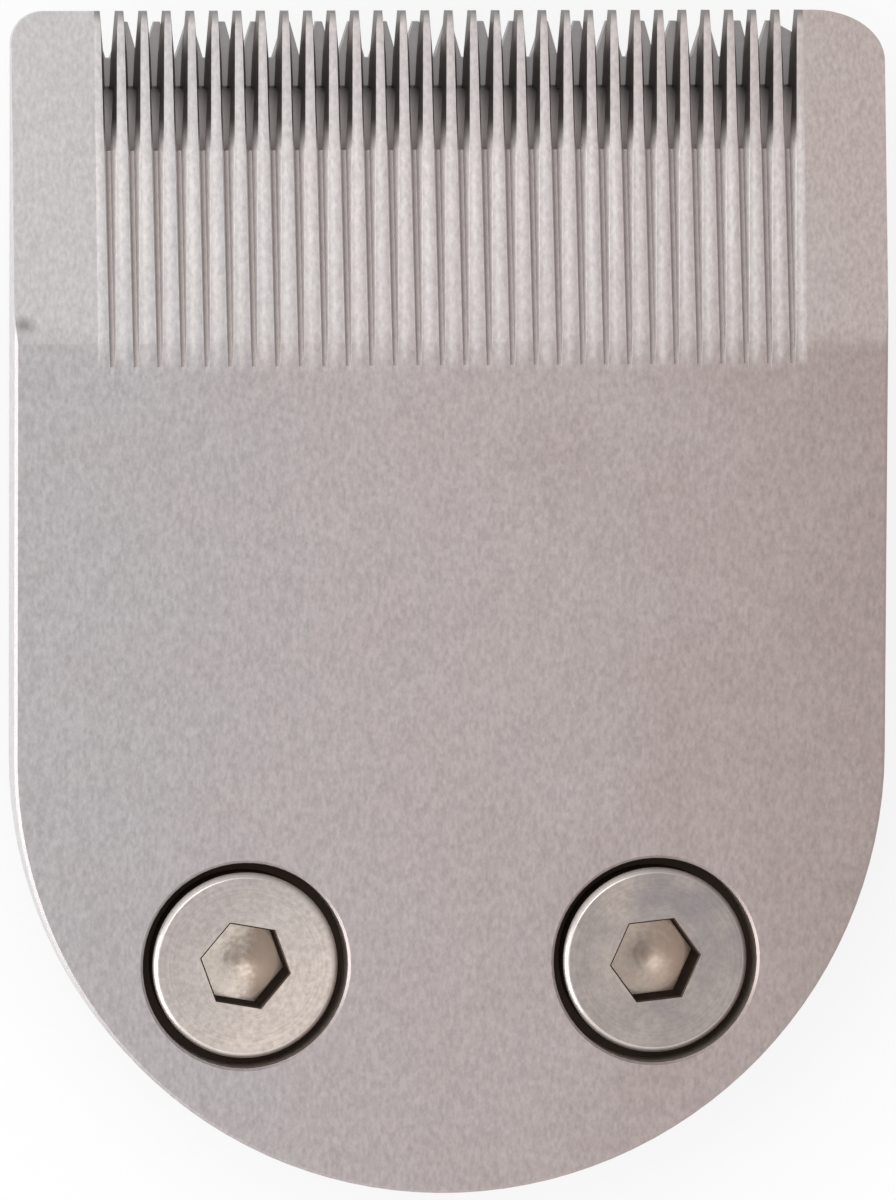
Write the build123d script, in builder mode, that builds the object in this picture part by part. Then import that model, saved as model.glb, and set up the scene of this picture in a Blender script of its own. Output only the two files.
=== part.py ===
from build123d import *
import os
from math import atan, cos, degrees, hypot, radians, sin, tan

# Detachable hair trimmer blade, lying on its back with the comb plate uppermost.
# X runs across the teeth, +Y points to the tooth tips and +Z is the face of the comb plate.
# The origin is on the surface it lies on, at the middle of the plate's length and width.
# All sizes are in millimetres and degrees.

# Comb plate, a flat steel plate with a half-round rear end
plate_width = 33.0
plate_length = 44.4
plate_thickness = 1.9
left_corner_radius = 1.2
right_corner_across = 2.65
right_corner_along = 1.9
plate_rim_chamfer = 0.12

# Ground teeth of the comb plate, measured back from the tips
tooth_pitch = 0.886
side_land_width = 3.4
groove_floor_width = 0.16
groove_flank_angle = 13.5
groove_run = 13.4
slot_length = 5.2
bevel_length = 12.3
tip_thickness = 0.45
tip_round = 0.22
tip_flare_length = 2.4
tip_flare_start = 0.15
tip_flare_end = 0.56
tip_flare_angle = 9.0

# Hollow in the back of the comb plate, between the two strips that the cutter bears on
hollow_depth = 0.4
hollow_setback = 2.9
hollow_length = 8.0
hollow_side_margin = 1.0

# Socket head screws, set in from the rear arc and either side of its middle
screw_edge_distance = 5.5
screw_spread_angle = 45.0
head_diameter = 7.0
head_height = 1.3
head_rim_chamfer = 0.18
head_side_clearance = 0.36
head_sink = 0.03
thread_diameter = 4.0
thread_end_chamfer = 0.4
plate_hole_clearance = 0.25
screw_length = 5.0
hex_across_flats = 3.0
socket_depth = 1.9
socket_cone_depth = 0.35
left_socket_turn = -10.0
right_socket_turn = 6.0

# Brass inserts moulded into the base
insert_diameter = 5.6
insert_length = 3.6
insert_clearance = 0.02
thread_clearance = 0.05

# Sliding cutter under the comb plate
cutter_setback = 0.42
cutter_length = 12.0
cutter_thickness = 1.0
cutter_reach = 1.15
cutter_tooth_pitch = 1.22
cutter_end_land = 1.8
cutter_tooth_depth = 1.35
cutter_tip_width = 0.22
cutter_root_width = 0.22
cutter_end_slope_across = 1.1
cutter_end_slope_along = 0.6
cutter_land = 2.4
cutter_rear_rail = 0.9
cutter_relief_depth = 0.25
cutter_back_bevel = 3.0
cutter_tip_thickness = 0.4
cutter_running_gap = 0.03
cutter_rest_offset = -0.6
cutter_half_stroke = 1.2

# Moulded carrier that drives the cutter
carrier_width = 19.0
carrier_length = 8.0
carrier_overlap = 3.2
carrier_body_width = 10.0
carrier_step_gap = 0.25
carrier_edge_gap = 0.08
carrier_corner_radius = 0.8
drive_slot_width = 5.0
drive_slot_depth = 5.0
drive_slot_lead = 0.5
peg_diameter = 2.0
peg_clearance = 0.05
peg_spacing = 14.0
peg_setback = 1.2
peg_sink = 0.05

# Wire spring that presses the carrier and cutter against the comb
wire_diameter = 0.8
wire_bend_radius = 2.0
wire_clearance = 0.05
spring_width = 14.4
spring_tip_setback = 1.5
spring_lift = 0.35

# Moulded base
base_height = 5.6
base_inset = 1.7
base_corner_radius = 2.0
base_edge_chamfer = 0.4
floor_thickness = 1.2
wall_thickness = 1.6
front_wall_thickness = 1.9
guide_clearance = 0.1
carrier_end_clearance = 0.6
cutter_bay_clearance = 0.17
cutter_bay_lead = 0.6
boss_radius = 4.2
boss_hole_clearance = 0.3
window_width = 12.0
window_setback = 2.0
leg_notch_width = 1.8
leg_notch_top = 2.9
saddle_width = 7.0
saddle_length = 2.4
saddle_height = 2.0
hook_slot_width = 8.0
hook_slot_height = 1.5
hook_slot_depth = 1.2
hook_slot_floor = 1.7
snap_length = 6.0
snap_radius = 0.6
snap_proud = 0.45
snap_height = 2.4

# Cuts run past the solid by this much
overshoot = 1.0

# Places that follow from the sizes above
half_width = plate_width / 2
tips = plate_length / 2
rear_centre = half_width - plate_length / 2
plate_back = base_height
plate_face = plate_back + plate_thickness
head_top = plate_face - head_sink
head_seat = head_top - head_height
counterbore_radius = head_diameter / 2 + head_side_clearance
screw_circle_radius = half_width - screw_edge_distance
screw_x = screw_circle_radius * sin(radians(screw_spread_angle))
screw_y = rear_centre - screw_circle_radius * cos(radians(screw_spread_angle))

slot_count = round((plate_width - 2 * side_land_width) / tooth_pitch)
slot_field = (slot_count - 1) * tooth_pitch
groove_flat = groove_run - slot_length
groove_drop = plate_thickness - hollow_depth
groove_slant = hypot(groove_flat, groove_drop)
groove_rise = groove_drop / groove_slant
groove_forward = groove_flat / groove_slant
groove_reach = groove_run / groove_forward + 2 * overshoot
groove_height = tip_thickness + slot_length * groove_drop / groove_flat - hollow_depth + overshoot / 4
groove_mouth = groove_floor_width + 2 * groove_height * tan(radians(groove_flank_angle))
bevel_slope = (plate_thickness - tip_thickness) / bevel_length
tip_flare_rate = (tip_flare_end - tip_flare_start) / tip_flare_length
tip_flare_reach = tip_flare_length + overshoot / 4
tip_flare_mouth = tip_flare_start + tip_flare_rate * tip_flare_reach
tip_flare_spread = 90 + degrees(atan(tip_flare_rate / 2))
tip_flare_height = tip_thickness + bevel_slope * tip_flare_length

cutter_width = slot_field + 2 * cutter_reach
cutter_front = tips - cutter_setback
cutter_rear = cutter_front - cutter_length
cutter_top = plate_back - cutter_running_gap
cutter_bottom = cutter_top - cutter_thickness
cutter_middle = cutter_rest_offset
valley_count = round((cutter_width - 2 * cutter_end_land) / cutter_tooth_pitch) + 1
valley_flare = (cutter_tooth_pitch - cutter_tip_width - cutter_root_width) / 2
valley_angle = 90 + degrees(atan(valley_flare / cutter_tooth_depth))

carrier_front = cutter_rear + carrier_overlap
carrier_rear = carrier_front - carrier_length
flange_bottom = floor_thickness + spring_lift + wire_diameter + wire_clearance
carrier_bottom = floor_thickness + spring_lift
peg_y = carrier_front - peg_setback
peg_top = cutter_top - cutter_relief_depth - peg_sink

base_half = half_width - base_inset
pocket_half = carrier_width / 2 + cutter_half_stroke + carrier_end_clearance
pocket_front = carrier_front + guide_clearance
pocket_rear = carrier_rear - guide_clearance
base_front = pocket_front + front_wall_thickness
guide_wall_rear = pocket_rear - wall_thickness
bay_floor = cutter_bottom - cutter_bay_clearance
bay_rear = cutter_rear - cutter_bay_lead
wire_height = floor_thickness + spring_lift + wire_diameter / 2
spring_tip = carrier_front - spring_tip_setback
spring_back = (screw_y + boss_radius + guide_wall_rear) / 2

os.makedirs("parts", exist_ok=True)


# Comb plate: outline, ground bevel, screw seats, hollow back, then the inclined tooth grooves
with BuildPart() as comb_plate:
    with BuildSketch(Plane.XY.offset(plate_back)):
        with BuildLine():
            Line((-half_width, rear_centre), (-half_width, tips - left_corner_radius))
            CenterArc((left_corner_radius - half_width, tips - left_corner_radius), left_corner_radius, 90, 90)
            Line((left_corner_radius - half_width, tips), (half_width - right_corner_across, tips))
            EllipticalCenterArc(
                (half_width - right_corner_across, tips - right_corner_along),
                right_corner_across,
                right_corner_along,
                start_angle=0,
                arc_size=90,
            )
            Line((half_width, tips - right_corner_along), (half_width, rear_centre))
            CenterArc((0, rear_centre), half_width, 180, 180)
        make_face()
    extrude(amount=plate_thickness)
    with BuildSketch(Plane.YZ) as bevel_waste:
        with BuildLine():
            Polyline(
                (tips - bevel_length - overshoot / bevel_slope, plate_face + overshoot),
                (tips, plate_back + tip_thickness),
                (tips, plate_back - overshoot),
                (tips + overshoot, plate_back - overshoot),
                (tips + overshoot, plate_face + overshoot),
                close=True,
            )
        make_face()
        nose = bevel_waste.vertices().sort_by_distance((0, tips, plate_back + tip_thickness))[0]
        fillet(nose, radius=tip_round)
    extrude(amount=plate_width, both=True, mode=Mode.SUBTRACT)
    with Locations((-screw_x, screw_y, plate_face), (screw_x, screw_y, plate_face)):
        CounterBoreHole(
            radius=thread_diameter / 2 + plate_hole_clearance,
            counter_bore_radius=counterbore_radius,
            counter_bore_depth=head_height + head_sink,
        )
    face_rim = comb_plate.faces().sort_by(Axis.Z)[-1].edges().filter_by(Axis.X, reverse=True)
    chamfer(face_rim, length=plate_rim_chamfer)
    with BuildSketch(Plane.XY.offset(plate_back)):
        with Locations((0, tips - hollow_setback)):
            Rectangle(
                slot_field + 2 * hollow_side_margin,
                hollow_length,
                align=(Align.CENTER, Align.MAX),
            )
    extrude(amount=hollow_depth, mode=Mode.SUBTRACT)
    groove_start = Plane(
        origin=(
            0,
            tips - groove_run - overshoot * groove_forward,
            plate_face + overshoot * groove_rise,
        ),
        x_dir=(1, 0, 0),
        z_dir=(0, -groove_forward, groove_rise),
    )
    with BuildSketch(groove_start):
        with GridLocations(tooth_pitch, 0, slot_count, 1):
            Trapezoid(
                groove_mouth,
                groove_height,
                90 + groove_flank_angle,
                align=(Align.CENTER, Align.MIN),
            )
    extrude(amount=-groove_reach, mode=Mode.SUBTRACT)
    with BuildSketch(Plane.XY.offset(plate_back)):
        with Locations((0, tips - tip_flare_length)):
            with GridLocations(tooth_pitch, 0, slot_count, 1):
                Trapezoid(
                    tip_flare_mouth,
                    tip_flare_reach,
                    tip_flare_spread,
                    align=(Align.CENTER, Align.MIN),
                )
    extrude(amount=tip_flare_height, taper=-tip_flare_angle, mode=Mode.SUBTRACT)
comb_plate.part.label = "comb_plate"
export_step(comb_plate.part, "parts/comb_plate.step")


# Cutter: toothed front edge, contact land, hollow relief and a rail at the rear
with BuildPart() as cutter_blade:
    with BuildSketch(Plane.XY.offset(cutter_bottom)):
        with BuildLine():
            Polyline(
                (cutter_middle - cutter_width / 2, cutter_rear),
                (cutter_middle + cutter_width / 2, cutter_rear),
                (cutter_middle + cutter_width / 2, cutter_front - cutter_end_slope_along),
                (cutter_middle + cutter_width / 2 - cutter_end_slope_across, cutter_front),
                (cutter_middle - cutter_width / 2 + cutter_end_slope_across, cutter_front),
                (cutter_middle - cutter_width / 2, cutter_front - cutter_end_slope_along),
                close=True,
            )
        make_face()
        with Locations((cutter_middle, cutter_front - cutter_tooth_depth)):
            with GridLocations(cutter_tooth_pitch, 0, valley_count, 1):
                Trapezoid(
                    cutter_tooth_pitch - cutter_tip_width,
                    cutter_tooth_depth,
                    valley_angle,
                    align=(Align.CENTER, Align.MIN),
                    mode=Mode.SUBTRACT,
                )
    extrude(amount=cutter_thickness)
    relief_length = cutter_length - cutter_land - cutter_rear_rail
    with BuildSketch(Plane.XY.offset(cutter_top)):
        with Locations((cutter_middle, cutter_rear + cutter_rear_rail + relief_length / 2)):
            Rectangle(cutter_width + 2 * overshoot, relief_length)
    extrude(amount=-cutter_relief_depth, mode=Mode.SUBTRACT)
    with BuildSketch(Plane.YZ):
        with BuildLine():
            Polyline(
                (cutter_front - cutter_back_bevel, cutter_bottom),
                (cutter_front, cutter_top - cutter_tip_thickness),
                (cutter_front + overshoot, cutter_top - cutter_tip_thickness),
                (cutter_front + overshoot, cutter_bottom - overshoot),
                (cutter_front - cutter_back_bevel, cutter_bottom - overshoot),
                close=True,
            )
        make_face()
    extrude(amount=plate_width, both=True, mode=Mode.SUBTRACT)
    with Locations((cutter_middle, peg_y, cutter_top)):
        with GridLocations(peg_spacing, 0, 2, 1):
            Hole(radius=peg_diameter / 2 + peg_clearance)
cutter_blade.part.label = "cutter_blade"
export_step(cutter_blade.part, "parts/cutter_blade.step")


# Drive carrier: flanged block with a fork for the drive pin and two pegs into the cutter
with BuildPart() as drive_carrier:
    with BuildSketch(Plane.XY.offset(flange_bottom)):
        with Locations((cutter_middle, carrier_rear)):
            flange = Rectangle(carrier_width, carrier_length, align=(Align.CENTER, Align.MIN))
        fillet(flange.vertices(), radius=carrier_corner_radius)
    extrude(amount=cutter_bottom - flange_bottom)
    with BuildSketch(Plane.XY.offset(carrier_bottom)):
        with Locations((cutter_middle, carrier_rear)):
            Rectangle(carrier_body_width, carrier_length, align=(Align.CENTER, Align.MIN))
    extrude(amount=cutter_bottom - carrier_bottom)
    with BuildSketch(Plane.XY.offset(cutter_bottom)):
        with Locations((cutter_middle, carrier_rear + carrier_corner_radius)):
            Rectangle(
                carrier_width - 2 * carrier_corner_radius,
                carrier_length - carrier_overlap - carrier_edge_gap - carrier_corner_radius,
                align=(Align.CENTER, Align.MIN),
            )
    extrude(amount=cutter_top - carrier_step_gap - cutter_bottom)
    with BuildSketch(Plane.XY.offset(cutter_bottom)):
        with Locations((cutter_middle, peg_y)):
            with GridLocations(peg_spacing, 0, 2, 1):
                Circle(peg_diameter / 2)
    extrude(amount=peg_top - cutter_bottom)
    with BuildSketch(Plane.XY.offset(carrier_bottom - overshoot)):
        with Locations((cutter_middle, carrier_rear - overshoot)):
            Rectangle(drive_slot_width, drive_slot_depth + overshoot, align=(Align.CENTER, Align.MIN))
    extrude(amount=base_height, mode=Mode.SUBTRACT)
    rear_corners = drive_carrier.faces().sort_by(Axis.Y)[:2].edges().filter_by(Axis.Z)
    slot_mouth = rear_corners.sort_by_distance((cutter_middle, carrier_rear, flange_bottom))[:2]
    chamfer(slot_mouth, length=drive_slot_lead)
drive_carrier.part.label = "drive_carrier"
export_step(drive_carrier.part, "parts/drive_carrier.step")


# Pressure spring: one bent wire, its back in the saddle and its legs under the carrier's flanges
with BuildPart() as pressure_spring:
    with BuildLine() as wire_path:
        FilletPolyline(
            (-spring_width / 2, spring_tip, wire_height),
            (-spring_width / 2, spring_back, wire_height),
            (spring_width / 2, spring_back, wire_height),
            (spring_width / 2, spring_tip, wire_height),
            radius=wire_bend_radius,
        )
    with BuildSketch(Plane(origin=wire_path.line @ 0, z_dir=wire_path.line % 0)):
        Circle(wire_diameter / 2)
    sweep()
pressure_spring.part.label = "pressure_spring"
export_step(pressure_spring.part, "parts/pressure_spring.step")


# Moulded base: cored tray with a guide pocket, screw bosses, hook slot and snap ridges
with BuildPart() as blade_base:
    with BuildSketch() as base_outline:
        with BuildLine():
            Line((-base_half, rear_centre), (-base_half, base_front))
            Line((-base_half, base_front), (base_half, base_front))
            Line((base_half, base_front), (base_half, rear_centre))
            CenterArc((0, rear_centre), base_half, 180, 180)
        make_face()
        fillet(base_outline.vertices().group_by(Axis.Y)[-1], radius=base_corner_radius)
    extrude(amount=base_height)
    chamfer(blade_base.faces().sort_by(Axis.Z)[0].edges(), length=base_edge_chamfer)
    with BuildSketch(Plane.XZ.offset(-rear_centre)):
        with Locations((0, snap_height)):
            with GridLocations(2 * (base_half + snap_proud - snap_radius), 0, 2, 1):
                Circle(snap_radius)
    extrude(amount=-snap_length)
    with BuildSketch(Plane.XY.offset(bay_floor)):
        with Locations((0, bay_rear)):
            Rectangle(plate_width, plate_length, align=(Align.CENTER, Align.MIN))
    extrude(amount=base_height, mode=Mode.SUBTRACT)
    with BuildSketch(Plane.XY.offset(floor_thickness)):
        with Locations((0, pocket_rear)):
            Rectangle(2 * pocket_half, pocket_front - pocket_rear, align=(Align.CENTER, Align.MIN))
        with Locations((0, rear_centre)):
            Circle(base_half - wall_thickness)
            Rectangle(
                2 * (base_half - wall_thickness),
                guide_wall_rear - rear_centre,
                align=(Align.CENTER, Align.MIN),
            )
        with Locations((-screw_x, screw_y), (screw_x, screw_y)):
            Circle(boss_radius, mode=Mode.SUBTRACT)
        with Locations((0, guide_wall_rear)):
            Rectangle(
                2 * base_half,
                wall_thickness,
                align=(Align.CENTER, Align.MIN),
                mode=Mode.SUBTRACT,
            )
    extrude(amount=base_height, mode=Mode.SUBTRACT)
    with BuildSketch(Plane.XY.offset(floor_thickness)):
        with Locations((0, guide_wall_rear)):
            with GridLocations(spring_width, 0, 2, 1):
                Rectangle(leg_notch_width, wall_thickness, align=(Align.CENTER, Align.MIN))
    extrude(amount=leg_notch_top - floor_thickness, mode=Mode.SUBTRACT)
    with BuildSketch():
        with Locations((0, pocket_rear)):
            Rectangle(
                window_width,
                carrier_length - window_setback,
                align=(Align.CENTER, Align.MIN),
            )
    extrude(amount=floor_thickness, mode=Mode.SUBTRACT)
    with BuildSketch(Plane.XY.offset(floor_thickness)):
        with Locations((0, spring_back)):
            Rectangle(saddle_width, saddle_length)
    extrude(amount=saddle_height)
    with BuildSketch(Plane.YZ):
        with Locations((spring_back, wire_height)):
            Circle(wire_diameter / 2 + wire_clearance)
    extrude(amount=saddle_width / 2, both=True, mode=Mode.SUBTRACT)
    with Locations((-screw_x, screw_y, plate_back), (screw_x, screw_y, plate_back)):
        CounterBoreHole(
            radius=thread_diameter / 2 + boss_hole_clearance,
            counter_bore_radius=insert_diameter / 2 + insert_clearance,
            counter_bore_depth=insert_length,
        )
    with BuildSketch(Plane.XY.offset(hook_slot_floor)):
        with Locations((0, rear_centre - base_half + hook_slot_depth)):
            Rectangle(hook_slot_width, base_half, align=(Align.CENTER, Align.MAX))
    extrude(amount=hook_slot_height, mode=Mode.SUBTRACT)
blade_base.part.label = "blade_base"
export_step(blade_base.part, "parts/blade_base.step")


# Inserts: plain sleeves, bored to take the thread's outer diameter
for side, insert_x in (("left", -screw_x), ("right", screw_x)):
    with BuildPart() as insert:
        with BuildSketch(Plane.XY.offset(plate_back)):
            with Locations((insert_x, screw_y)):
                Circle(insert_diameter / 2)
                Circle(thread_diameter / 2 + thread_clearance, mode=Mode.SUBTRACT)
        extrude(amount=-insert_length)
    insert.part.label = side + "_insert"
    export_step(insert.part, "parts/" + side + "_insert.step")


# Flat socket head screws, each stopped with its hexagon at a different turn
for side, axis_x, socket_turn in (
    ("left", -screw_x, left_socket_turn),
    ("right", screw_x, right_socket_turn),
):
    with BuildPart() as screw:
        with BuildSketch(Plane.XY.offset(head_seat)):
            with Locations((axis_x, screw_y)):
                Circle(head_diameter / 2)
        extrude(amount=head_height)
        chamfer(screw.faces().sort_by(Axis.Z)[-1].edges(), length=head_rim_chamfer)
        with BuildSketch(Plane.XY.offset(head_seat)):
            with Locations((axis_x, screw_y)):
                Circle(thread_diameter / 2)
        extrude(amount=-screw_length)
        chamfer(screw.faces().sort_by(Axis.Z)[0].edges(), length=thread_end_chamfer)
        with BuildSketch(Plane.XY.offset(head_top)):
            with Locations((axis_x, screw_y)):
                RegularPolygon(hex_across_flats / 2, 6, major_radius=False, rotation=socket_turn)
        extrude(amount=-socket_depth, mode=Mode.SUBTRACT)
        with Locations((axis_x, screw_y, head_top - socket_depth)):
            Cone(
                0,
                hex_across_flats / 2,
                socket_cone_depth,
                align=(Align.CENTER, Align.CENTER, Align.MAX),
                mode=Mode.SUBTRACT,
            )
    screw.part.label = side + "_screw"
    export_step(screw.part, "parts/" + side + "_screw.step")
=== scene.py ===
import math

import bmesh
import bpy
from mathutils import Matrix, Vector


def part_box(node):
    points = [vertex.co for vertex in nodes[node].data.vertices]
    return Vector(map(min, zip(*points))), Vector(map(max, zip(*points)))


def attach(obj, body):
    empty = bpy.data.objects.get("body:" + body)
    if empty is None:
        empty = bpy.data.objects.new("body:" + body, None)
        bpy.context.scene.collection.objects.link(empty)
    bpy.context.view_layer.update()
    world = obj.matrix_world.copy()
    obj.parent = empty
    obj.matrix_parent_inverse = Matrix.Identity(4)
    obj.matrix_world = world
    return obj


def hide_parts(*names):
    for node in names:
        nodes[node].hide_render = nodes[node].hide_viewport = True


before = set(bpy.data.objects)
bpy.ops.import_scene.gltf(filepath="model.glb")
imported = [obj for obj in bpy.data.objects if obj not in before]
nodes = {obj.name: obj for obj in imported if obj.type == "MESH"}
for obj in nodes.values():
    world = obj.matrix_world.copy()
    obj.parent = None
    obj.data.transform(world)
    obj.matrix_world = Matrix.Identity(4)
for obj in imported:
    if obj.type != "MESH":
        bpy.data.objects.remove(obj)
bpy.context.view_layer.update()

MM = 0.001

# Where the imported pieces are, in millimetres
plate_low, plate_high = (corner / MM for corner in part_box("comb_plate"))
_, cutter_high = (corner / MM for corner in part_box("cutter_blade"))
screw_low, screw_high = (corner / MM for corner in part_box("right_screw"))

# Sizes of the plate and the cutter, as the part's source gives them, in millimetres
LEFT_EDGE = plate_low.x
TIPS = plate_high.y
PLATE_FACE = plate_high.z
PLATE_BACK = plate_low.z
CUTTER_POINTS = cutter_high.y
BEVEL_LENGTH = 12.3
BEVEL_DROP = 1.45
TOOTH_PITCH = 0.886
TOOTH_FIELD = 13.4
GROOVE_RUN = 13.4
SLOT_LENGTH = 5.2
HOLLOW_DEPTH = 0.4
HOLLOW_SETBACK = 2.9
CUTTER_LAND = 2.4
SEAT_RADIUS = 3.86

# Sizes of the screws, as the part's source gives them, in millimetres and degrees
SCREW_X = 7.778
SCREW_Y = -13.478
HEAD_TOP = screw_high.z
SCREW_END = screw_low.z
HEAD_RADIUS = 3.5
HEAD_HEIGHT = 1.3
HEAD_CHAMFER = 0.18
SHANK_RADIUS = 2.0
HEX_FLATS = 3.0
SOCKET_DEPTH = 1.9
SOCKET_CONE = 0.35
SOCKET_TURNS = {"left": -10.0, "right": 6.0}

# Lines, radii and heights worked out from those sizes
BEVEL_START = TIPS - BEVEL_LENGTH
GROOVE_START = TIPS - GROOVE_RUN
SLOT_START = TIPS - SLOT_LENGTH
HOLLOW_FRONT = TIPS - HOLLOW_SETBACK
LAND_START = CUTTER_POINTS - CUTTER_LAND
FACE_EDGE = HEAD_RADIUS - HEAD_CHAMFER
SOCKET_FLOOR = HEAD_TOP - SOCKET_DEPTH
HEX_CORNER = HEX_FLATS / math.sqrt(3)

# Fine details of the screws, in millimetres
THREAD_ROOT = 1.62
THREAD_PITCH = 0.7
THREAD_START = 0.1
THREAD_STOP = 0.2
THREAD_SINK = 0.04
THREAD_CLEAR = 0.03
RIDGE_RISE = 0.32
RIDGE_CREST = 0.06
RIDGE_FALL = 0.30
POINT_CHAMFER = 0.3
NECK_TAPER = 0.3
NECK_GAP = 0.15
NECK = SOCKET_FLOOR - NECK_GAP
RIM_BREAK = 0.03
RIM_RUN = 0.02
RIM_BAND = 0.07
FACE_RING = 1.95
LIP_DEPTH = 0.06
DRILL_INSET = 0.1
TIP_ROOM = 0.1
TIP_DEPTH = 0.07

# Sizes of the socket's mouth, lip, cone and tip, each as a share of the ring before it
MOUTH_SHARE = 1.01
LIP_SHARE = 0.965
CONE_SHARE = 0.3
TIP_SHARE = 0.4

# Steps in a full turn, sides of the hexagon, sharp edges in radians, and merging in metres
ROUND_STEPS = 96
THREAD_STEPS = 36
HEX_SIDES = 6
SHARP_ANGLE = 0.6
MERGE_DISTANCE = 1e-8

# Where tones start, end and fade in the finishes, in millimetres
COOL_FROM = -14.0
COOL_TO = 0.0
BROWN_FROM = 2.0
BROWN_TO = 16.0
CLOUD_REACH = 16.0
BEVEL_FADE_REAR = 0.5
BEVEL_FADE_FRONT = 0.4
MARK_INSET = 0.33
MARK_AHEAD = 0.7
MARK_CORE = 0.1
MARK_RADIUS = 0.55
CREST_SHIFT = 0.08
CREST_FADE = 0.6
CREST_FULL = 8.5
WALL_FOOT = 0.35
SLOT_FADE = 1.2
GROOVE_DEPTH = 0.04
SEAT_CLEARANCE = 0.02
SEAT_TOP = 0.1
TIP_SHADE_LENGTH = 0.5
TIP_EDGE = 0.05
LAND_PLAIN_FRONT = 0.8
LAND_FADE = 0.05
RAIL_FADE = 0.5
SIDE_FADE = 2.0
HEAD_CLOUD = 6.0
HEAD_FADE = 4.0
SHADE_CLOUD = 2.0
SHADE_SPECK = 0.8
SHADE_FROM = -0.5
SHADE_TO = 0.7
DRILL_CORE = 0.1
DRILL_RADIUS = 0.35
SOCKET_REACH = HEX_CORNER * MOUTH_SHARE + 0.01
SOCKET_TOP = 0.09
LIP_TOP = 0.005
SCUFF_HEIGHT = 0.6

# How many times as wide as long the dark mark on the bevel is
MARK_SQUASH = 1.4

# The range that most of a noise pattern's values lie in
NOISE_LOW = 0.3
NOISE_HIGH = 0.7

# Camera, fitted to the photograph: slope to the left and to the tips, distance, aim, roll and lens
VIEW_LEFT = 0.150
VIEW_FORWARD = 0.0947
VIEW_DISTANCE = 0.450
VIEW_AIM = Vector((-0.189, 0.213, PLATE_FACE)) * MM
VIEW_ROLL = -0.0048
FOCAL_PIXELS = 12024
IMAGE_HEIGHT = 1200
SENSOR = 36

# The paper that the blade lies on, in metres
PAPER_HALF = 0.6
PAPER_GAP = 0.02 * MM

# How far the paper is lifted to white, and the room's brightness and its fall to the right and the front
PAPER_LIFT = 0.8
ROOM_LEVEL = 0.86
ROOM_TO_RIGHT = 0.30
ROOM_TO_FRONT = 0.22


class Wire:
    """A value in a shader; arithmetic on it adds Math nodes."""

    def __init__(self, tree, made, out=0):
        self.tree = tree
        self.made = made
        self.socket = made.outputs[out]

    def out(self, name):
        return Wire(self.tree, self.made, name)

    def math(self, operation, *values):
        return self.tree.node("ShaderNodeMath", {"operation": operation}, dict(enumerate(values)))

    def fraction(self):
        return self.math("FRACT", self)

    def larger(self, other):
        return self.math("MAXIMUM", self, other)

    def __add__(self, other):
        return self.math("ADD", self, other)

    def __radd__(self, other):
        return self.math("ADD", other, self)

    def __sub__(self, other):
        return self.math("SUBTRACT", self, other)

    def __rsub__(self, other):
        return self.math("SUBTRACT", other, self)

    def __mul__(self, other):
        return self.math("MULTIPLY", self, other)

    def __rmul__(self, other):
        return self.math("MULTIPLY", other, self)

    def __pow__(self, other):
        return self.math("POWER", self, other)

    def __abs__(self):
        return self.math("ABSOLUTE", self)

    def __gt__(self, other):
        return self.math("GREATER_THAN", self, other)

    def __lt__(self, other):
        return self.math("LESS_THAN", self, other)


class Shading:
    """A shader's node tree."""

    def __init__(self, owner):
        owner.use_nodes = True
        self.nodes = owner.node_tree.nodes
        self.links = owner.node_tree.links

    def node(self, kind, settings=None, links=None, out=0):
        made = self.nodes.new(kind)
        for key, value in (settings or {}).items():
            setattr(made, key, value)
        for key, value in (links or {}).items():
            self.feed(made.inputs[key], value)
        return Wire(self, made, out)

    def feed(self, socket, value):
        if isinstance(value, Wire):
            self.links.new(value.socket, socket)
        else:
            socket.default_value = value

    def split(self, vector):
        parts = self.node("ShaderNodeSeparateXYZ", {}, {0: vector})
        return parts.out("X"), parts.out("Y"), parts.out("Z")

    def ramp(self, value, low, high, to_low=0.0, to_high=1.0):
        links = {0: value, 1: low, 2: high, 3: to_low, 4: to_high}
        return self.node("ShaderNodeMapRange", {"clamp": True}, links)

    def spread(self, noise, to_low=0.0, to_high=1.0):
        """A noise pattern, stretched from the range that it mostly fills."""
        return self.ramp(noise, NOISE_LOW, NOISE_HIGH, to_low, to_high)

    def mix(self, factor, first, second, blend="MIX"):
        settings = {"data_type": "RGBA", "blend_type": blend}
        return self.node("ShaderNodeMix", settings, {0: factor, 6: first, 7: second}, 2)

    def lit_rays(self):
        """1 for rays that should meet a white background: seen directly, mirrored or through glass."""
        path = self.node("ShaderNodeLightPath")
        seen = path.out("Is Camera Ray").larger(path.out("Is Glossy Ray"))
        return seen.larger(path.out("Is Transmission Ray"))


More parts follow.
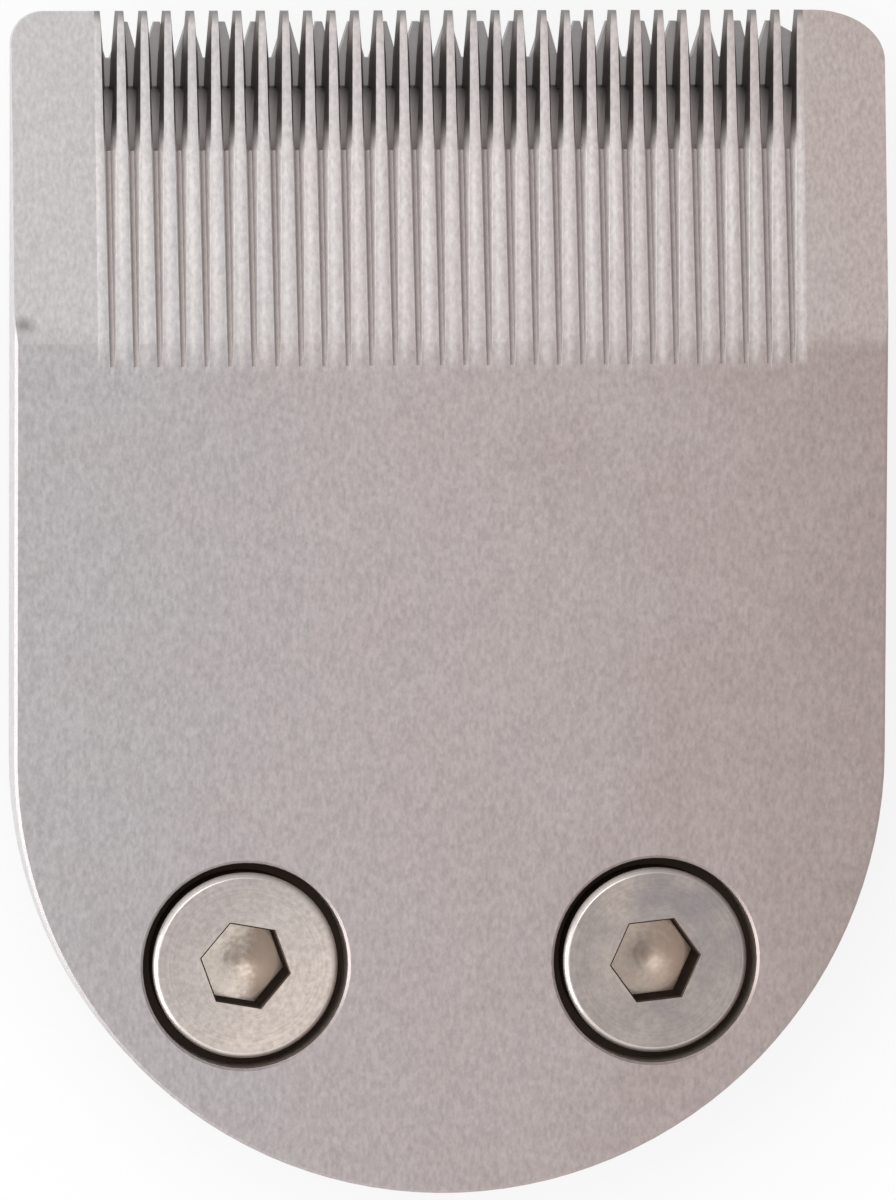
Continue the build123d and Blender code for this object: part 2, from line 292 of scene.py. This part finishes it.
class Finish(Shading):
    """One material round a Principled shader, with positions in millimetres."""

    SOCKETS = {
        "base_color": "Base Color",
        "roughness": "Roughness",
        "metallic": "Metallic",
        "normal": "Normal",
    }

    def __init__(self, name):
        self.material = bpy.data.materials.new(name)
        super().__init__(self.material)
        self.shader = self.nodes["Principled BSDF"]
        self.place = self.node("ShaderNodeTexCoord", out="Object")
        self.x, self.y, self.z = self.split(self.scaled((1 / MM, 1 / MM, 1 / MM)))
        facing = self.node("ShaderNodeNewGeometry", out="True Normal")
        self.face_x, _, self.face_z = self.split(facing)

    def set(self, **values):
        for key, value in values.items():
            self.feed(self.shader.inputs[self.SOCKETS[key]], value)

    def scaled(self, scale):
        return self.node("ShaderNodeMapping", {}, {"Vector": self.place, "Scale": scale})

    def noise(self, per_mm, detail=2.0, rough=0.55, stretch=(1, 1, 1)):
        where = self.scaled(tuple(per_mm * part / MM for part in stretch))
        links = {"Vector": where, "Scale": 1.0, "Detail": detail, "Roughness": rough}
        return self.node("ShaderNodeTexNoise", {}, links)

    def bump(self, height, depth_mm, below=None):
        links = {"Height": height, "Distance": depth_mm * MM, "Strength": 1.0}
        if below:
            links["Normal"] = below
        return self.node("ShaderNodeBump", {}, links)

    def upright(self):
        """1 on walls and undersides, 0 on faces that look up."""
        return self.ramp(self.face_z, 0.2, 0.5, 1.0, 0.0)

    def from_screw(self):
        """Distance from the axis of the nearer screw."""
        across = abs(self.x) - SCREW_X
        along = self.y - SCREW_Y
        return (across * across + along * along) ** 0.5


def srgb(red, green, blue):
    """A colour given as 8-bit sRGB values, in the linear form that shaders use."""
    linear = []
    for value in (red, green, blue):
        part = value / 255
        linear.append(part / 12.92 if part <= 0.04045 else ((part + 0.055) / 1.055) ** 2.4)
    return (*linear, 1.0)


def plate_tones(finish):
    """The face and the bevel, with a painted highlight making the bevel brighter, cooler on the left and
    browner on the right, where painted shade also darkens it.
    """
    cloud = finish.noise(per_mm=0.22, detail=3.0, rough=0.6)
    where = finish.x + (cloud - 0.5) * CLOUD_REACH
    to_middle = finish.ramp(where, COOL_FROM, COOL_TO)
    to_right = finish.ramp(where, BROWN_FROM, BROWN_TO)
    face = finish.mix(to_middle, srgb(194, 189, 190), srgb(196, 184, 183))
    face = finish.mix(to_right, face, srgb(183, 168, 164))
    # Painted highlight: the bevel is painted brighter than the face.
    bevel = finish.mix(to_middle, srgb(203, 200, 200), srgb(205, 196, 195))
    bevel = finish.mix(to_right, bevel, srgb(198, 185, 182))
    slant = finish.ramp(finish.x, LEFT_EDGE, -TOOTH_FIELD, MARK_AHEAD, 0.0)
    rear = BEVEL_START - BEVEL_FADE_REAR
    front = BEVEL_START + BEVEL_FADE_FRONT
    return finish.mix(finish.ramp(finish.y - slant, rear, front), face, bevel)


def dark_mark(finish):
    """How strongly a small dark spot shows at the left end of the bevel's rear line."""
    across = finish.x - LEFT_EDGE - MARK_INSET
    along = (finish.y - BEVEL_START - MARK_AHEAD) * MARK_SQUASH
    distance = (across * across + along * along) ** 0.5
    return finish.ramp(distance, MARK_CORE, MARK_RADIUS, 0.6, 0.0) * (finish.face_z > 0.5)


def painted_crest_highlight(finish):
    """How strongly a painted highlight shows on the tops of the teeth, fainter to the rear and towards the
    tips.
    """
    tooth = (finish.x + CREST_SHIFT) * (1 / TOOTH_PITCH) + 0.5
    from_ridge = abs(tooth.fraction() - 0.5)
    start = finish.ramp(finish.y, GROOVE_START, GROOVE_START + CREST_FADE)
    gain = finish.ramp(finish.y, GROOVE_START, TIPS - CREST_FULL, 0.6, 1.0)
    slender = finish.ramp(finish.y, SLOT_START, HOLLOW_FRONT, 1.0, 0.5)
    drawn = finish.noise(per_mm=1.2, detail=2.0, rough=0.5, stretch=(1.0, 0.1, 1.0))
    streak = finish.spread(drawn, 0.65, 1.0)
    return start * gain * slender * streak * finish.ramp(from_ridge, 0.03, 0.30, 1.0, 0.0)


def tooth_walls(finish, slotted):
    """Groove walls with painted light: a painted highlight towards their top, painted shade at their foot,
    and painted grey shade where the slots open.
    """
    groove_fall = (PLATE_FACE - PLATE_BACK - HOLLOW_DEPTH) / (GROOVE_RUN - SLOT_LENGTH)
    above_floor = finish.z - PLATE_FACE + (finish.y - GROOVE_START) * groove_fall
    wall = finish.mix(finish.ramp(above_floor, 0.0, WALL_FOOT), srgb(205, 197, 195), srgb(242, 237, 235))
    return finish.mix(slotted, wall, srgb(150, 143, 140))


def groove_floors(finish):
    """1 on the sloping floors of the grooves, under the face and the bevel."""
    past_bevel = finish.ramp(finish.y, BEVEL_START, TIPS, 0.0, BEVEL_LENGTH)
    depth = PLATE_FACE - past_bevel * (BEVEL_DROP / BEVEL_LENGTH) - finish.z
    return (depth > GROOVE_DEPTH) * (finish.face_z > 0.9)


def ground_steel():
    """Satin ground plate, with painted light: painted highlights on the bevel, tooth tops, groove walls and
    side walls, and painted shade in the slots, groove floors, screw seats and at the tips.
    """
    finish = Finish("satin ground steel")
    grain = finish.noise(per_mm=7.0, detail=3.0, rough=0.6, stretch=(1.0, 0.5, 1.0))
    tone = finish.mix(dark_mark(finish), plate_tones(finish), srgb(118, 115, 116))

    in_teeth = (finish.y > GROOVE_START) * (abs(finish.x) < TOOTH_FIELD)
    # Painted highlight along the tops of the teeth.
    tone = finish.mix(in_teeth * painted_crest_highlight(finish), tone, srgb(236, 230, 228))
    slotted = finish.ramp(finish.y, SLOT_START, SLOT_START + SLOT_FADE)
    flank = in_teeth * finish.ramp(abs(finish.face_x), 0.6, 0.9)
    # Painted light and shade on the walls of the teeth.
    tone = finish.mix(flank, tone, tooth_walls(finish, slotted))
    # Painted shade on the groove floors, darkest on their left side.
    groove = finish.x * (1 / TOOTH_PITCH)
    to_right = finish.ramp(groove.fraction(), 0.40, 0.60)
    floor = finish.mix(to_right, srgb(136, 127, 125), srgb(202, 194, 192))
    tone = finish.mix(in_teeth * groove_floors(finish), tone, floor)

    # Painted highlight: the plate's side walls are painted brighter than its face.
    side_wall = finish.upright() * (1 - in_teeth) * (finish.face_z > -0.5)
    tone = finish.mix(side_wall, tone, srgb(228, 226, 226))
    # Painted shade in the screw seats, lighter on the seats' walls.
    seat = (finish.from_screw() < SEAT_RADIUS + SEAT_CLEARANCE) * (finish.z < PLATE_FACE - SEAT_TOP)
    tone = finish.mix(seat, tone, srgb(98, 84, 76))
    tone = finish.mix(seat * finish.upright(), tone, srgb(176, 160, 150))
    # Painted shade: the front ends of the teeth are painted grey.
    painted_tip_shade = in_teeth * finish.ramp(finish.y, TIPS - TIP_SHADE_LENGTH, TIPS - TIP_EDGE)
    tone = finish.mix(painted_tip_shade, tone, srgb(150, 146, 144))

    grain_tone = finish.mix(finish.spread(grain), srgb(228, 227, 227), srgb(255, 255, 255))
    finish.set(base_color=finish.mix(1.0, tone, grain_tone, "MULTIPLY"))
    finish.set(metallic=1 - flank * (1 - slotted) * 0.85)
    finish.set(roughness=finish.spread(grain, 0.40, 0.50) + seat * 0.3)
    finish.set(normal=finish.bump(grain, depth_mm=0.001))
    return finish.material


def cutter_steel():
    """Ground cutter: a grey land at the points, a relief darkened with painted shade, and painted light
    making it pale under the slots' rear ends.
    """
    finish = Finish("cutter steel")
    grain = finish.noise(per_mm=6.0, detail=3.0, rough=0.6, stretch=(0.3, 1.0, 1.0))
    land = finish.mix(grain, srgb(146, 142, 141), srgb(166, 162, 161))
    # The land is darker towards its rear edge.
    land_darkening = finish.ramp(finish.y, LAND_START, CUTTER_POINTS - LAND_PLAIN_FRONT, 0.6, 0.0)
    land = finish.mix(land_darkening, land, srgb(116, 112, 111))
    # Painted shade: the relief is painted dark.
    relief = finish.mix(grain, srgb(88, 84, 82), srgb(108, 103, 101))
    # Painted light: the relief is painted pale under the slots' rear ends.
    rear = finish.ramp(finish.y, SLOT_START + RAIL_FADE, HOLLOW_FRONT, 1.0, 0.0)
    relief = finish.mix(rear, relief, srgb(240, 231, 228))
    front = finish.ramp(finish.y, LAND_START - LAND_FADE, LAND_START + LAND_FADE)
    finish.set(base_color=finish.mix(front, relief, land), metallic=1 - rear * 0.8)
    finish.set(roughness=finish.spread(grain, 0.32, 0.42))
    finish.set(normal=finish.bump(grain, depth_mm=0.001))
    return finish.material


def head_tones(finish, from_axis, on_right, cloud, speck, ring):
    """Turned faces: the left head warm, with a painted sheen making it brighter to the lower right, the
    right head cool, clouded and darker with painted shade.
    """
    diagonal = from_axis - (finish.y - SCREW_Y) + (cloud - 0.5) * HEAD_CLOUD
    # Painted sheen on the left head, brighter to the lower right.
    lower_right = finish.ramp(diagonal, -HEAD_FADE, HEAD_FADE)
    warm = finish.mix(lower_right, srgb(196, 187, 184), srgb(228, 215, 206))
    # Painted shade: the right head's tones are darker.
    cool = finish.mix(finish.ramp(cloud, 0.35, 0.65), srgb(160, 153, 153), srgb(192, 179, 172))
    turned = finish.ramp(ring * 0.3 + speck * 0.7, 0.35, 0.65, 0.0, 0.40)
    return finish.mix(turned, finish.mix(on_right, warm, cool), srgb(132, 124, 119))


def socket_tones(finish, from_axis, on_right, cloud, speck, radius):
    """Tan drilled floors, with a painted highlight on the left and painted shade on the right, darker in
    the right socket, and painted shade at the drill point.
    """
    across = from_axis + (cloud - 0.5) * SHADE_CLOUD + (speck - 0.5) * SHADE_SPECK
    shaded = finish.ramp(across, SHADE_FROM, SHADE_TO)
    # Painted highlight on the floor's left and painted shade on its right.
    floor = finish.mix(shaded, srgb(255, 243, 231), srgb(156, 138, 125))
    # Painted shade: the right socket's floor is darker.
    floor = finish.mix(on_right * 0.6, floor, srgb(164, 141, 127))
    floor = finish.mix(finish.spread(speck, 0.0, 0.35), floor, srgb(166, 147, 132))
    # Painted shade round the drill point.
    drill_point_shade = finish.ramp(radius, DRILL_CORE, DRILL_RADIUS, 0.6, 0.0)
    return finish.mix(drill_point_shade, floor, srgb(146, 126, 112))


def screw_steel():
    """Turned head face with a painted highlight on its rim, a tan drilled socket with painted light and
    shade, and flanks darkened with painted shade.
    """
    finish = Finish("turned screw steel")
    radius = finish.from_screw()
    turning = {"W": radius, "Scale": 9.0, "Detail": 3.0}
    ring = finish.node("ShaderNodeTexNoise", {"noise_dimensions": "1D"}, turning)
    speck = finish.noise(per_mm=5.0, detail=3.0)
    cloud = finish.noise(per_mm=0.5, detail=2.0)
    on_right = finish.ramp(finish.x, -SIDE_FADE, SIDE_FADE)
    from_axis = finish.x - (on_right * 2 - 1) * SCREW_X
    in_socket = radius < SOCKET_REACH
    inside = in_socket * (finish.z < HEAD_TOP - SOCKET_TOP)
    face = head_tones(finish, from_axis, on_right, cloud, speck, ring)
    floor = socket_tones(finish, from_axis, on_right, cloud, speck, radius)
    tone = finish.mix(inside, face, floor)
    # Painted shade on the socket's walls and at its lip.
    socket_wall = inside * finish.upright()
    tone = finish.mix(socket_wall, tone, srgb(60, 49, 42))
    lip = in_socket * (finish.z < HEAD_TOP - LIP_TOP) * (finish.z > HEAD_TOP - SOCKET_TOP)
    tone = finish.mix(lip, tone, srgb(96, 80, 70))
    # Painted shade on the head's flank, down in the seat.
    flank = (radius > HEAD_RADIUS - RIM_BREAK) * (finish.z < HEAD_TOP - HEAD_CHAMFER)
    tone = finish.mix(flank, tone, srgb(86, 75, 69))
    # Painted highlight on the head's rim.
    rim = (radius > FACE_EDGE - RIM_RUN) * (finish.z > HEAD_TOP - HEAD_CHAMFER)
    tone = finish.mix(rim * 0.35, tone, srgb(255, 250, 245))
    finish.set(base_color=tone, metallic=1.0)
    rough = finish.spread(ring, 0.40, 0.50)
    finish.set(roughness=rough - inside * 0.06 - rim * 0.12 + socket_wall * 0.5)
    fine = finish.bump(speck, depth_mm=0.001)
    finish.set(normal=finish.bump(ring * (1 - inside), depth_mm=0.003, below=fine))
    return finish.material


def spring_wire():
    finish = Finish("drawn spring wire")
    grain = finish.noise(per_mm=8.0, detail=2.0, rough=0.5, stretch=(1.0, 0.1, 1.0))
    finish.set(base_color=finish.mix(grain, srgb(120, 118, 115), srgb(165, 162, 158)), metallic=1.0)
    finish.set(roughness=finish.spread(grain, 0.25, 0.4))
    return finish.material


def insert_brass():
    finish = Finish("turned brass")
    grain = finish.noise(per_mm=6.0, detail=2.0, rough=0.5, stretch=(0.2, 0.2, 1.0))
    finish.set(base_color=finish.mix(grain, srgb(190, 158, 92), srgb(214, 182, 116)), metallic=1.0)
    finish.set(roughness=finish.spread(grain, 0.25, 0.4))
    return finish.material


def base_plastic():
    """Fine spark texture, a little scuffed along the bottom edge."""
    finish = Finish("black moulded plastic")
    spark = finish.noise(per_mm=3.0, detail=3.0, rough=0.7)
    cloud = finish.noise(per_mm=0.4, detail=2.0)
    tone = finish.mix(cloud, srgb(26, 26, 27), srgb(38, 38, 40))
    tone = finish.mix(finish.ramp(spark, 0.48, 0.66, 0.0, 0.5), tone, srgb(66, 66, 68))
    bottom = finish.ramp(finish.z, 0.0, SCUFF_HEIGHT, 1.0, 0.0)
    scuff = bottom * finish.ramp(finish.noise(per_mm=1.5, detail=3.0), 0.45, 0.65, 0.0, 0.5)
    finish.set(base_color=finish.mix(scuff, tone, srgb(86, 86, 88)))
    finish.set(roughness=finish.spread(spark, 0.38, 0.62))
    finish.set(normal=finish.bump(spark, depth_mm=0.10))
    return finish.material


def carrier_plastic():
    finish = Finish("white acetal")
    cloud = finish.noise(per_mm=0.8, detail=3.0)
    finish.set(base_color=finish.mix(cloud, srgb(214, 212, 204), srgb(228, 226, 219)))
    finish.set(roughness=finish.spread(cloud, 0.35, 0.45))
    finish.set(normal=finish.bump(finish.noise(per_mm=4.0, detail=2.0), depth_mm=0.004))
    return finish.material


FINISHES = {
    "comb_plate": ground_steel(),
    "cutter_blade": cutter_steel(),
    "pressure_spring": spring_wire(),
    "blade_base": base_plastic(),
    "drive_carrier": carrier_plastic(),
}
screw_finish = screw_steel()
brass_finish = insert_brass()
for side in SOCKET_TURNS:
    FINISHES[side + "_screw"] = screw_finish
    FINISHES[side + "_insert"] = brass_finish
for name, material in FINISHES.items():
    nodes[name].data.materials.clear()
    nodes[name].data.materials.append(material)


def add_object(name, shape, material):
    mesh = bpy.data.meshes.new(name)
    shape.to_mesh(mesh)
    shape.free()
    mesh.materials.append(material)
    made = bpy.data.objects.new(name, mesh)
    bpy.context.scene.collection.objects.link(made)
    return made


def points(shape, profile):
    """Corners in the plane of X and Z, given as radius and height in millimetres."""
    return [shape.verts.new((radius * MM, 0, height * MM)) for radius, height in profile]


def edges_among(shape, corners):
    """The edges that have both ends in a group of corners."""
    group = set(corners)
    return [edge for edge in shape.edges if group.issuperset(edge.verts)]


def loop_at(shape, radius, height):
    """Edges of a closed ring, found by the place of its corners in millimetres."""
    near = 1e-4
    ring = [
        corner
        for corner in shape.verts
        if abs(corner.co.xy.length / MM - radius) < near and abs(corner.co.z / MM - height) < near
    ]
    return edges_among(shape, ring)


def drawn_out(shape, ring, rise, share=1.0):
    """A new ring drawn out from one, raised by millimetres and scaled about the axis."""
    made = bmesh.ops.extrude_edge_only(shape, edges=ring)["geom"]
    corners = [item for item in made if isinstance(item, bmesh.types.BMVert)]
    bmesh.ops.scale(shape, vec=(share, share, 1), verts=corners)
    bmesh.ops.translate(shape, vec=(0, 0, rise * MM), verts=corners)
    return edges_among(shape, corners)


def turned_body(shape):
    """A shank with a chamfered point under a flat head with a broken edge, open at the socket."""
    seat = HEAD_TOP - HEAD_HEIGHT
    profile = (
        (THREAD_ROOT - POINT_CHAMFER, SCREW_END),
        (THREAD_ROOT, SCREW_END + POINT_CHAMFER),
        (THREAD_ROOT, NECK - NECK_TAPER),
        (SHANK_RADIUS, NECK),
        (SHANK_RADIUS, seat),
        (HEAD_RADIUS, seat),
        (HEAD_RADIUS, HEAD_TOP - HEAD_CHAMFER),
        (FACE_EDGE + RIM_BREAK, HEAD_TOP - RIM_BREAK),
        (FACE_EDGE - RIM_RUN, HEAD_TOP),
        (FACE_EDGE - RIM_BAND, HEAD_TOP),
        (FACE_RING, HEAD_TOP),
    )
    corners = points(shape, profile)
    edges = [shape.edges.new(pair) for pair in zip(corners, corners[1:])]
    bmesh.ops.spin(
        shape,
        geom=corners + edges,
        cent=(0, 0, 0),
        axis=(0, 0, 1),
        angle=math.tau,
        steps=ROUND_STEPS,
        use_merge=True,
    )
    bmesh.ops.edgeloop_fill(shape, edges=loop_at(shape, THREAD_ROOT - POINT_CHAMFER, SCREW_END))


def hexagon_socket(shape, degrees):
    """A hexagon with a broken edge and a drilled, coned floor, closing the head's face."""
    corner_radius = HEX_CORNER * MOUTH_SHARE
    turn = Matrix.Rotation(math.radians(degrees + 180 / HEX_SIDES), 4, "Z")
    on_face = Matrix.Translation((0, 0, HEAD_TOP * MM)) @ turn
    made = bmesh.ops.create_circle(shape, segments=HEX_SIDES, radius=corner_radius * MM, matrix=on_face)
    sides = edges_among(shape, made["verts"])
    cut = bmesh.ops.subdivide_edges(shape, edges=sides, cuts=ROUND_STEPS // HEX_SIDES - 1)
    mouth = [item for item in cut["geom_split"] if isinstance(item, bmesh.types.BMEdge)]
    face = loop_at(shape, FACE_RING, HEAD_TOP) + mouth
    bmesh.ops.triangle_fill(shape, use_beauty=True, edges=face, normal=(0, 0, 1))
    lip = drawn_out(shape, mouth, -LIP_DEPTH, LIP_SHARE)
    foot = drawn_out(shape, lip, LIP_DEPTH - SOCKET_DEPTH)

    drill_radius = HEX_FLATS / 2 - DRILL_INSET
    on_floor = Matrix.Translation((0, 0, SOCKET_FLOOR * MM))
    bmesh.ops.create_circle(shape, segments=ROUND_STEPS, radius=drill_radius * MM, matrix=on_floor)
    drilled = loop_at(shape, drill_radius, SOCKET_FLOOR)
    bmesh.ops.triangle_fill(shape, use_beauty=True, edges=foot + drilled, normal=(0, 0, 1))
    cone = drawn_out(shape, drilled, TIP_ROOM - SOCKET_CONE, CONE_SHARE)
    tip = drawn_out(shape, cone, -TIP_DEPTH, TIP_SHARE)
    bmesh.ops.edgeloop_fill(shape, edges=tip)


def helical_thread(shape):
    """A ridge wound round the shank, from near the point to near the neck."""
    low = SCREW_END + THREAD_START
    foot = THREAD_ROOT - THREAD_SINK
    crest = SHANK_RADIUS - THREAD_CLEAR
    ridge = (
        (foot, low),
        (crest, low + RIDGE_RISE),
        (crest, low + RIDGE_RISE + RIDGE_CREST),
        (foot, low + RIDGE_RISE + RIDGE_CREST + RIDGE_FALL),
    )
    start = shape.faces.new(points(shape, ridge))
    turns = (NECK - THREAD_STOP - low) / THREAD_PITCH - 1
    bmesh.ops.spin(
        shape,
        geom=[start, *start.edges, *start.verts],
        cent=(0, 0, 0),
        axis=(0, 0, 1),
        dvec=(0, 0, THREAD_PITCH * MM / THREAD_STEPS),
        angle=math.tau * turns,
        steps=round(THREAD_STEPS * turns),
    )


def flat_socket_screw(side):
    """Turned head and shank, a hexagon socket with a drilled floor, and a helical thread."""
    shape = bmesh.new()
    turned_body(shape)
    hexagon_socket(shape, SOCKET_TURNS[side])
    helical_thread(shape)
    bmesh.ops.remove_doubles(shape, verts=shape.verts, dist=MERGE_DISTANCE)
    for face in shape.faces:
        face.smooth = True
    for edge in shape.edges:
        edge.smooth = len(edge.link_faces) < 2 or edge.calc_face_angle(0) < SHARP_ANGLE
    place = SCREW_X if side == "right" else -SCREW_X
    bmesh.ops.translate(shape, vec=(place * MM, SCREW_Y * MM, 0), verts=shape.verts)
    bmesh.ops.recalc_face_normals(shape, faces=shape.faces)
    screw = add_object(side + "_socket_screw", shape, screw_finish)
    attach(screw, "base")
    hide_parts(side + "_screw")


for side in SOCKET_TURNS:
    flat_socket_screw(side)


def floor_paper():
    """White paper, lifted to white where it is seen directly or mirrored; it keeps its shadow."""
    finish = Finish("white paper")
    fibre = finish.noise(per_mm=1.5, detail=2.0)
    finish.set(base_color=finish.mix(fibre, srgb(240, 240, 240), srgb(246, 246, 246)), roughness=0.9)
    white = finish.node("ShaderNodeEmission", {}, {"Strength": 1.0})
    paper = Wire(finish, finish.shader)
    both = finish.node("ShaderNodeMixShader", {}, {0: finish.lit_rays() * PAPER_LIFT, 1: paper, 2: white})
    finish.feed(finish.nodes["Material Output"].inputs["Surface"], both)
    return finish.material


def add_floor():
    """A sheet of paper a hair under the blade, so that the two faces don't coincide."""
    sheet = bmesh.new()
    under = Matrix.Translation((0, 0, -PAPER_GAP))
    bmesh.ops.create_grid(sheet, x_segments=1, y_segments=1, size=PAPER_HALF, matrix=under)
    add_object("paper_floor", sheet, floor_paper())


def add_softbox(name, place, size, watts):
    lamp = bpy.data.lights.new(name, "AREA")
    lamp.shape = "RECTANGLE"
    lamp.size, lamp.size_y = size
    lamp.energy = watts
    box = bpy.data.objects.new(name, lamp)
    box.location = place
    box.rotation_euler = (-Vector(place)).to_track_quat("-Z", "Y").to_euler()
    bpy.context.scene.collection.objects.link(box)


def light_room():
    """A pale room, brighter to the left and rear than to the right and front."""
    world = bpy.data.worlds.new("pale room")
    bpy.context.scene.world = world
    room = Shading(world)
    right, front, _ = room.split(room.node("ShaderNodeTexCoord", out="Generated"))
    background = room.nodes["Background"].inputs
    room.feed(background["Strength"], ROOM_LEVEL - ROOM_TO_RIGHT * right - ROOM_TO_FRONT * front)
    room.feed(background["Color"], (1, 1, 1, 1))


def add_camera():
    toward = Vector((-VIEW_LEFT, VIEW_FORWARD, 1)).normalized()
    right = Vector((math.sin(VIEW_ROLL), math.cos(VIEW_ROLL), 0)).cross(toward).normalized()
    up = toward.cross(right)
    lens = bpy.data.cameras.new("camera")
    lens.sensor_width = SENSOR
    lens.lens = FOCAL_PIXELS * SENSOR / IMAGE_HEIGHT
    lens.clip_start = 0.01
    camera = bpy.data.objects.new("camera", lens)
    turn = Matrix((right, up, toward)).transposed().to_4x4()
    camera.matrix_world = Matrix.Translation(VIEW_AIM + toward * VIEW_DISTANCE) @ turn
    bpy.context.scene.collection.objects.link(camera)
    bpy.context.scene.camera = camera


add_floor()
light_room()
add_softbox("key_softbox", place=(-0.20, 0.22, 0.45), size=(0.35, 0.35), watts=0.8)
add_softbox("side_strip", place=(-0.42, -0.12, 0.12), size=(0.45, 0.10), watts=0.7)
add_camera()
bpy.context.scene.view_settings.view_transform = "Standard"
